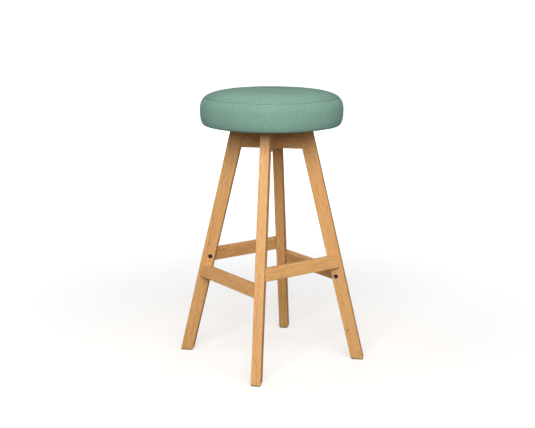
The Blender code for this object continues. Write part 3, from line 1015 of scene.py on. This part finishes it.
def foam_block(s, seat, gap=0.0011, lump_height=0.0004):
    """The foam's outer line follows the cover's, a felt and a gap inside it, with a groove under the
    seam; below, a well fits the board. The line is carried round, and slow waves press it in a little
    all round, except at its middle and in the well."""
    inset = seat.fabric + gap
    r = np.linspace(0, s["seam_radius"] - 0.0085, 30)
    out, down = band_line(s, 40)
    keep = (down > s["board_bottom"] + 0.004) & (down < s["seam"] - 0.0055)
    well, ceiling = s["board_radius"] + 0.0004, s["board_top"] + 0.0004
    rim_r, rim_z = np.maximum(out[keep] - inset, well + 0.0005), down[keep]
    groove = np.array([s["seam_radius"], s["seam"]]) - seam_line(s) * (seat.seam_depth + 0.0012)
    line_r = np.concatenate([r, groove[:1], rim_r, [well, well, 0]])[:, None]
    dome = crown_height(s, r) - inset
    line_z = np.concatenate([dome, groove[1:], rim_z, [rim_z[-1], ceiling, ceiling]])[:, None]
    angle = ring_angles(180)
    free = (line_r > 0.02) & (line_z > s["board_top"] + 0.006)
    pressed = np.abs(lump_height * ripple(angle, 3, 17, 5)[None, :] * free)
    return ring_surface("seat_foam_block", line_r - pressed, line_z - pressed, angle)


def ring_surface(name, reach, height, angle, **kind):
    """A surface from the reach and the height of each row at each angle round the seat's axis."""
    grid = np.stack([reach * np.cos(angle), reach * np.sin(angle), height + angle * 0], axis=-1)
    return surface(name, grid, **kind)


class STOOL_OT_cover(bpy.types.Operator):
    """Felt cover: a round top panel and a side band, sewn together edge to edge and pulled under"""

    bl_idname = "stool.cover"
    bl_label = "Felt cover"

    def execute(self, context):
        seat = context.scene.stool_seat
        s = seat_sizes()
        edge = s["seam_radius"]
        angle = ring_angles(720)
        waver = 0.00035 * ripple(angle, 2, 9, 31) + 0.00018 * ripple(angle, 14, 40, 32)
        places, pushed = filling_push(s, seat, angle.size)

        # Top panel: out along the crown to the seam, with close rows over its last millimetres.
        beside_seam = np.array([6, 4.6, 3.4, 2.6, 2.1, 1.8, 1.5, 1.2, 0.9, 0.65, 0.42, 0.24, 0.1, 0]) / 1000
        r = edge * np.sin(np.linspace(0, np.pi / 2, 46))
        r = np.concatenate([r[r < edge - 0.008], edge - beside_seam])
        z = crown_height(s, r)
        along = walk(r, z)
        push = at_places(along, places, pushed)
        top = panel("cover_top_felt", r, z, edge - r, seat, seam_line(s), angle, waver, push, 51)
        puff(top, s, seat)

        # Side band: from the seam down, round the corner and under to the lip.
        out, down = band_line(s)
        lip = np.linspace(out[-1], s["board_radius"] - BAND_LIP, 10)[1:]
        out, down = np.concatenate([out, lip]), np.concatenate([down, lip * 0 + s["bottom"]])
        below = walk(out, down)
        finer = np.unique(np.concatenate([beside_seam, below[below > 0.008]]))
        out, down = np.interp(finer, below, out), np.interp(finer, below, down)
        push = at_places(along[-1] + finer, places, pushed)
        band = panel("cover_band_felt", out, down, finer, seat, seam_line(s), angle, waver, push, 52)

        for made, node in ((top, "cover_top_panel"), (band, "cover_side_band")):
            dress(made, shared(felt, "sage_wool_felt", seat), node)
        return {"FINISHED"}


def filling_push(sizes, seat, columns, coarse=96, step=0.0055, middle=0.012, lump_height=0.0003):
    """How far the filling pushes the cover outwards, as (places along its outer line from the middle of
    the top, pushes for each place and column). A closed cushion with slightly lumpy filling is blown up
    as cloth, with its seam and its underside held, and no point moves further than most_swell. It is
    cut smaller by its mean swell round each place, so what is left is the filling's unevenness, which
    levels off at most_uneven. Only its 15 slowest waves round the seat are kept."""
    r = np.linspace(middle, sizes["seam_radius"], 200)
    out, down = band_line(sizes)
    line_r = np.concatenate([r, out[1:], [middle]])
    line_z = np.concatenate([crown_height(sizes, r), down[1:], [sizes["bottom"]]])
    walked = middle + walk(line_r, line_z)
    places = np.linspace(walked[0], walked[-1], int((walked[-1] - walked[0]) / step))
    reach, height = np.interp(places, walked, line_r), np.interp(places, walked, line_z)
    slope = np.stack([np.gradient(reach), np.gradient(height)])
    normal = (np.stack([-slope[1], slope[0]]) / np.linalg.norm(slope, axis=0))[..., None]
    seam_place, band_place = walked[r.size - 1], walked[r.size + out.size - 2]
    free = (np.abs(places - seam_place) > 0.006) & (places < band_place - 0.004)
    angle = ring_angles(coarse)
    lump = lump_height * ripple(angle, 3, 11, 71)[None, :] * ripple(places[:, None] * 9, 1, 5, 72, 5)
    lump = lump * free[:, None]
    out, up = reach[:, None] + normal[0] * lump, height[:, None] + normal[1] * lump
    cushion = ring_surface("filling", out, up, angle, caps=True)
    start = points_of(cushion.data).reshape(places.size, coarse, 3)
    moved = blown_up(cushion, np.repeat(~free, coarse)).reshape(start.shape) - start
    length = np.linalg.norm(moved, axis=-1, keepdims=True)
    moved *= np.minimum(1, seat.most_swell / np.maximum(length, 1e-9))
    outwards = moved[..., 0] * np.cos(angle) + moved[..., 1] * np.sin(angle)
    push = normal[0] * outwards + normal[1] * moved[..., 2] + lump
    push = seat.most_uneven * np.tanh((push - push.mean(axis=1, keepdims=True)) / seat.most_uneven)
    waves = np.fft.rfft(push, axis=1)
    waves[:, 16:] = 0
    return places, np.fft.irfft(waves, columns, axis=1) * columns / coarse


def blown_up(cushion, held, pressure=4.0, frames=20):
    """Where the cushion's points are after it is blown up as weightless cloth for some frames, with
    some of them held. The cushion is removed."""
    scene = bpy.context.scene
    group = cushion.vertex_groups.new(name="held")
    group.add(np.flatnonzero(held).tolist(), 1.0, "REPLACE")
    cloth = cushion.modifiers.new("Filling", "CLOTH")
    cloth.settings.use_pressure = True
    cloth.settings.uniform_pressure_force = pressure
    cloth.settings.vertex_group_mass = group.name
    cloth.settings.effector_weights.gravity = 0.0
    cloth.settings.quality = 6
    cloth.point_cache.frame_start, cloth.point_cache.frame_end = 1, frames
    for at in range(1, frames + 1):
        scene.frame_set(at)
    found = points_of(cushion.evaluated_get(bpy.context.evaluated_depsgraph_get()).data)
    scene.frame_set(1)
    bpy.data.objects.remove(cushion, do_unlink=True)
    return found


def at_places(wanted, places, values, calm=0.03):
    """Rows of values read off at other places along the line, each a straight mix of its neighbours,
    and growing from none over the first stretch."""
    spot = np.clip(np.searchsorted(places, wanted), 1, len(places) - 1)
    part = np.clip((wanted - places[spot - 1]) / (places[spot] - places[spot - 1]), 0, 1)[:, None]
    fade = np.clip(wanted / calm, 0, 1)[:, None]
    return (values[spot - 1] * (1 - part) + values[spot] * part) * fade


def puff(top, sizes, seat):
    """Leans the top panel's shading outwards, slowly at first and then faster with the distance from
    its middle, up to most_lean at the seam, so that the felt reads as stuffed. Its shape stays."""
    mesh = top.data
    points = points_of(mesh)
    normals = rows_of(mesh.vertices, "normal", 3).astype(float)
    reach = np.hypot(points[:, 0], points[:, 1])
    from_seam, part = sizes["seam_radius"] - reach, reach / sizes["seam_radius"]
    lean = np.tan(seat.most_lean * part**2.5) - crown_slope(sizes, part)
    lean = np.maximum(lean, 0) * np.clip(from_seam / seat.seam_roll, 0, 1)
    away = points[:, :2] / np.maximum(reach, 1e-9)[:, None]
    shown = (normals[:, 2] > 0) & (from_seam > 0.0002)
    normals[:, :2] += away * lean[:, None] * normals[:, 2:3]
    normals /= np.linalg.norm(normals, axis=1)[:, None]
    mesh.normals_split_custom_set_from_vertices(np.where(shown[:, None], normals, 0).tolist())


def panel(name, reach, height, from_seam, seat, meet, angle, waver, push, seed):
    """One felt panel carried round the seat. Its outer line is moved along its own normal by the roll
    into the seam, a quarter of an ellipse seam_roll wide and seam_depth deep, by the gathers, short
    waves that die away from the seam, and by the push of the filling; the seam wanders a little up and
    down. In the roll the normal turns towards meet, the line on which both panels end. The inner line
    follows a thickness inside, and the two join round the panel's edges."""
    is_top = name.endswith("top_felt")
    along = np.stack([np.gradient(reach), np.gradient(height)])
    along /= np.linalg.norm(along, axis=0)
    normal = np.stack([-along[1], along[0]])
    if normal[1 if is_top else 0].sum() < 0:
        normal = -normal
    meet = np.array(meet)[:, None]
    near = np.clip(1 - np.maximum(from_seam, 0) / seat.seam_roll, 0, 1)
    turned_in = normal * (1 - near**2) + meet * near**2
    turned_in = (turned_in / np.linalg.norm(turned_in, axis=0))[..., None]
    beside = np.array([-meet[1], meet[0]]) * (0.00015 if is_top else -0.00015)
    e, near, normal = np.maximum(from_seam, 0)[:, None], near[:, None], normal[..., None]
    roll = -seat.seam_depth * (1 - np.sqrt(1 - near**2))
    gather = seat.pucker * ripple(angle, 55, 120, seed, 14)[None, :] * np.exp(-e / 0.006) * (near < 0.9)
    wander = waver[None, :] * np.exp(-e / 0.012)
    moved = roll + gather + push
    out = reach[:, None] + turned_in[0] * moved + beside[0] * near
    up = height[:, None] + turned_in[1] * moved + beside[1] * near + wander
    keep = from_seam > seat.seam_roll * 0.8
    in_out = (reach[:, None] + normal[0] * (push - seat.fabric))[keep][::-1]
    in_up = (height[:, None] + normal[1] * (push - seat.fabric) + wander)[keep][::-1]
    full_r, full_z = np.concatenate([out, in_out]), np.concatenate([up, in_up])
    if is_top:
        full_r[[0, -1]] = 0
        full_z[[0, -1]] = full_z[[0, -1]].mean(axis=1, keepdims=True)
    return ring_surface(name, full_r, full_z, angle, loop_rows=not is_top, sharp=80)


class STOOL_OT_lining(bpy.types.Operator):
    """Black lining under the seat board, with its edge turned under"""

    bl_idname = "stool.lining"
    bl_label = "Lining"

    def execute(self, context):
        s = seat_sizes()
        edge = s["lining_radius"]
        made = lining_disc(*s["lining"], edge)
        dress(made, shared(lining_cloth, "black_lining"), "dust_cover")
        return {"FINISHED"}


def lining_disc(low, high, edge, hem=0.0088, skin=0.0002):
    """A flat disc of cloth: a line out along its underside, which steps down at the hem, round the edge
    and back along its top, carried once round. The edge wanders in and out and the underside has faint
    creases, both sums of waves."""
    angle = ring_angles(240)
    beside_edge = np.array([0.009, 0.0085, 0.004, 0.001, 0.0003])
    r = np.concatenate([np.linspace(0, edge - 0.012, 22), edge - beside_edge])
    under = np.where(r > edge - hem, low, low + skin)
    r = np.concatenate([r, [edge, edge, edge - 0.0004], r[::-1][1:]])[:, None]
    z = np.concatenate([under, [low + skin, high - skin, high], under[1:] * 0 + high])[:, None]
    r = r + 0.0004 * ripple(angle, 5, 30, 81) * (r > edge - 0.002)
    crease = 0.00010 * ripple(angle, 9, 40, 82) * (r > 0.06) * (r < edge - 0.004)
    z = z + np.where(z < (low + high) / 2, np.maximum(crease, 0), 0)
    r[[0, -1]] = 0
    z[0], z[-1] = low + skin, high
    return ring_surface("dust_cover_cloth", r, z, angle)


# ---------------------------------------------------------------- studio


def softbox(name, heading, climb, power, width=3.0, away=4.5, target=(0, 0, 0.35)):
    """A square soft light, so many degrees round and up, at a distance from the stool."""
    heading, climb = math.radians(heading), math.radians(climb)
    toward = Vector(direction(heading) * math.cos(climb) + UP * math.sin(climb))
    lamp = bpy.data.lights.new(name, "AREA")
    lamp.shape, lamp.size, lamp.energy = "SQUARE", width, power
    made = placed(name, lamp)
    made.location = Vector(target) + toward * away
    made.rotation_euler = (-toward).to_track_quat("-Z", "Y").to_euler()
    made.visible_camera = False
    return made


def studio_paint_with_painted_glow(name, tint):
    """Matt white paint with a painted glow from under its skin, half as strong near the stool as where the
    floor sweeps away, and warmed near the stool by painted bounce light from the oak.
    """
    r = Recipe(name)
    spot = r.place()
    tone = r.noise(spot, 0.7, 2)
    shade = r.mix(r.spread(tone, 0.3, 0.7), tint, tuple(c * 0.99 for c in tint))
    away = r.vector("LENGTH", spot)
    # Painted warm bounce light from the oak on the floor near the stool, fading to white by 1.1 m out.
    glow = r.mix(r.spread(away, 0.25, 1.1), (1.0, 0.955, 0.91), (1.0, 1.0, 1.0))
    paint = {"Base_Color": shade, "Roughness": 0.9, "Specular_IOR_Level": 0.05}
    # Painted light: the floor glows at half strength near the stool and at full strength from 3 m out.
    return r.finish(Emission_Color=glow, Emission_Strength=r.spread(away, 0.5, 3.0, 0.50, 1.0), **paint)


def backdrop(radius):
    """A white dome far behind everything, turned from a quarter circle that starts below the floor. It
    only shows: it gives the stool no light."""
    climb = np.linspace(-0.3, np.pi / 2, 24)
    profile = np.stack([radius * np.cos(climb), radius * np.sin(climb)], 1)
    made = turned("studio_backdrop", profile, (0, 0, 0), UP)
    made.data.flip_normals()
    r = Recipe("studio_white")
    glow = r.node("ShaderNodeEmission", Color=(1.0, 1.0, 1.0), Strength=1.0)
    r.tree.links.new(glow.outputs[0], r.tree.nodes["Material Output"].inputs["Surface"])
    made.data.materials.append(r.material)
    made.visible_transmission = made.visible_shadow = False
    return unlit(made)


def unlit(made):
    """Keeps a studio piece's own glow off the stool."""
    made.visible_diffuse = made.visible_glossy = False
    return made


def studio_floor(tint, half=90.0):
    """A level floor on a square grid, its lines as far out as the cube of an even spacing."""
    even = np.linspace(-1, 1, 41)
    x, y = np.meshgrid(even**3 * half, even**3 * half)
    mesh = bpy.data.meshes.new("studio_floor")
    index = np.arange(x.size).reshape(x.shape)
    quads = np.stack([index[:-1, :-1], index[:-1, 1:], index[1:, 1:], index[1:, :-1]], axis=-1)
    corners = np.stack([x, y, x * 0], axis=-1).reshape(-1, 3)
    mesh.from_pydata(corners.tolist(), [], quads.reshape(-1, 4).tolist())
    mesh.materials.append(studio_paint_with_painted_glow("studio_paint_with_painted_glow", tint))
    return unlit(placed("studio_floor", mesh))


def camera_at(swing, away, height, pan, tilt, focal_length):
    """A camera so many degrees round from the front, at a level distance and a height, turned aside by
    pan and down by tilt from the stool's axis."""
    swing, pan, tilt = (math.radians(turn) for turn in (swing, pan, tilt))
    lens = bpy.data.cameras.new("camera")
    lens.sensor_width, lens.lens = 36.0, focal_length
    camera = placed("camera", lens)
    camera.location = (away * math.sin(swing), -away * math.cos(swing), height)
    forward = Vector(direction(swing + pan + math.pi / 2) * math.cos(tilt) - UP * math.sin(tilt))
    camera.rotation_euler = forward.to_track_quat("-Z", "Y").to_euler()
    return camera


class STOOL_OT_studio(bpy.types.Operator):
    """Plain pale floor, soft lights and the camera"""

    bl_idname = "stool.studio"
    bl_label = "Studio"

    def execute(self, context):
        stage = context.scene.stool_stage
        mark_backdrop(studio_floor(tuple(stage.floor)), backdrop(90.0))
        world = bpy.data.worlds.new("studio_air")
        world.use_nodes = True
        air = world.node_tree.nodes["Background"].inputs
        air["Color"].default_value = (1.0, 1.0, 1.0, 1.0)
        air["Strength"].default_value = stage.sky
        context.scene.world = world
        softbox("key_softbox", -90, 34, stage.key)
        softbox("right_softbox", -50, 30, stage.right)
        softbox("left_softbox", -165, 25, stage.left)
        softbox("back_softbox", 90, 12, stage.back).visible_glossy = False
        context.scene.view_settings.view_transform = "Standard"
        context.scene.camera = camera_at(
            swing=9.206, away=2.897, height=1.0443, pan=0.224, tilt=12.40, focal_length=71.81159
        )
        return {"FINISHED"}


class STOOL_PT_panel(bpy.types.Panel):
    """Lists the stool's pieces in the order they are made"""

    bl_idname = "STOOL_PT_panel"
    bl_label = "Bar stool"
    bl_space_type = "VIEW_3D"
    bl_region_type = "UI"
    bl_category = "Bar stool"

    def draw(self, context):
        for group in (context.scene.stool_wood, context.scene.stool_seat, context.scene.stool_stage):
            box = self.layout.box()
            for key in group.bl_rna.properties.keys():
                if key not in ("rna_type", "name"):
                    box.prop(group, key)
        for step in STEPS:
            self.layout.operator(step.bl_idname)


STEPS = (
    STOOL_OT_legs,
    STOOL_OT_cross_rails,
    STOOL_OT_footrests,
    STOOL_OT_footrest_bolts,
    STOOL_OT_seat_fixings,
    STOOL_OT_glides,
    STOOL_OT_foam,
    STOOL_OT_cover,
    STOOL_OT_lining,
    STOOL_OT_studio,
)
SETTINGS = {"stool_wood": WoodSettings, "stool_seat": SeatSettings, "stool_stage": StageSettings}


def register():
    for item in (*SETTINGS.values(), *STEPS, STOOL_PT_panel):
        bpy.utils.register_class(item)
    for key, group in SETTINGS.items():
        setattr(bpy.types.Scene, key, bpy.props.PointerProperty(type=group))


def unregister():
    for key in SETTINGS:
        delattr(bpy.types.Scene, key)
    for item in reversed((*SETTINGS.values(), *STEPS, STOOL_PT_panel)):
        bpy.utils.unregister_class(item)


def plain(box):
    """A box as plain lists of numbers."""
    return [[float(value) for value in corner] for corner in box]


def main():
    register()
    for step in STEPS:
        group, word = step.bl_idname.split(".")
        if getattr(getattr(bpy.ops, group), word)() != {"FINISHED"}:
            raise RuntimeError(step.bl_label + " was not made")
    {"cad": plain(cad_box), "visual": plain(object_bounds())}


if __name__ == "__main__":
    main()
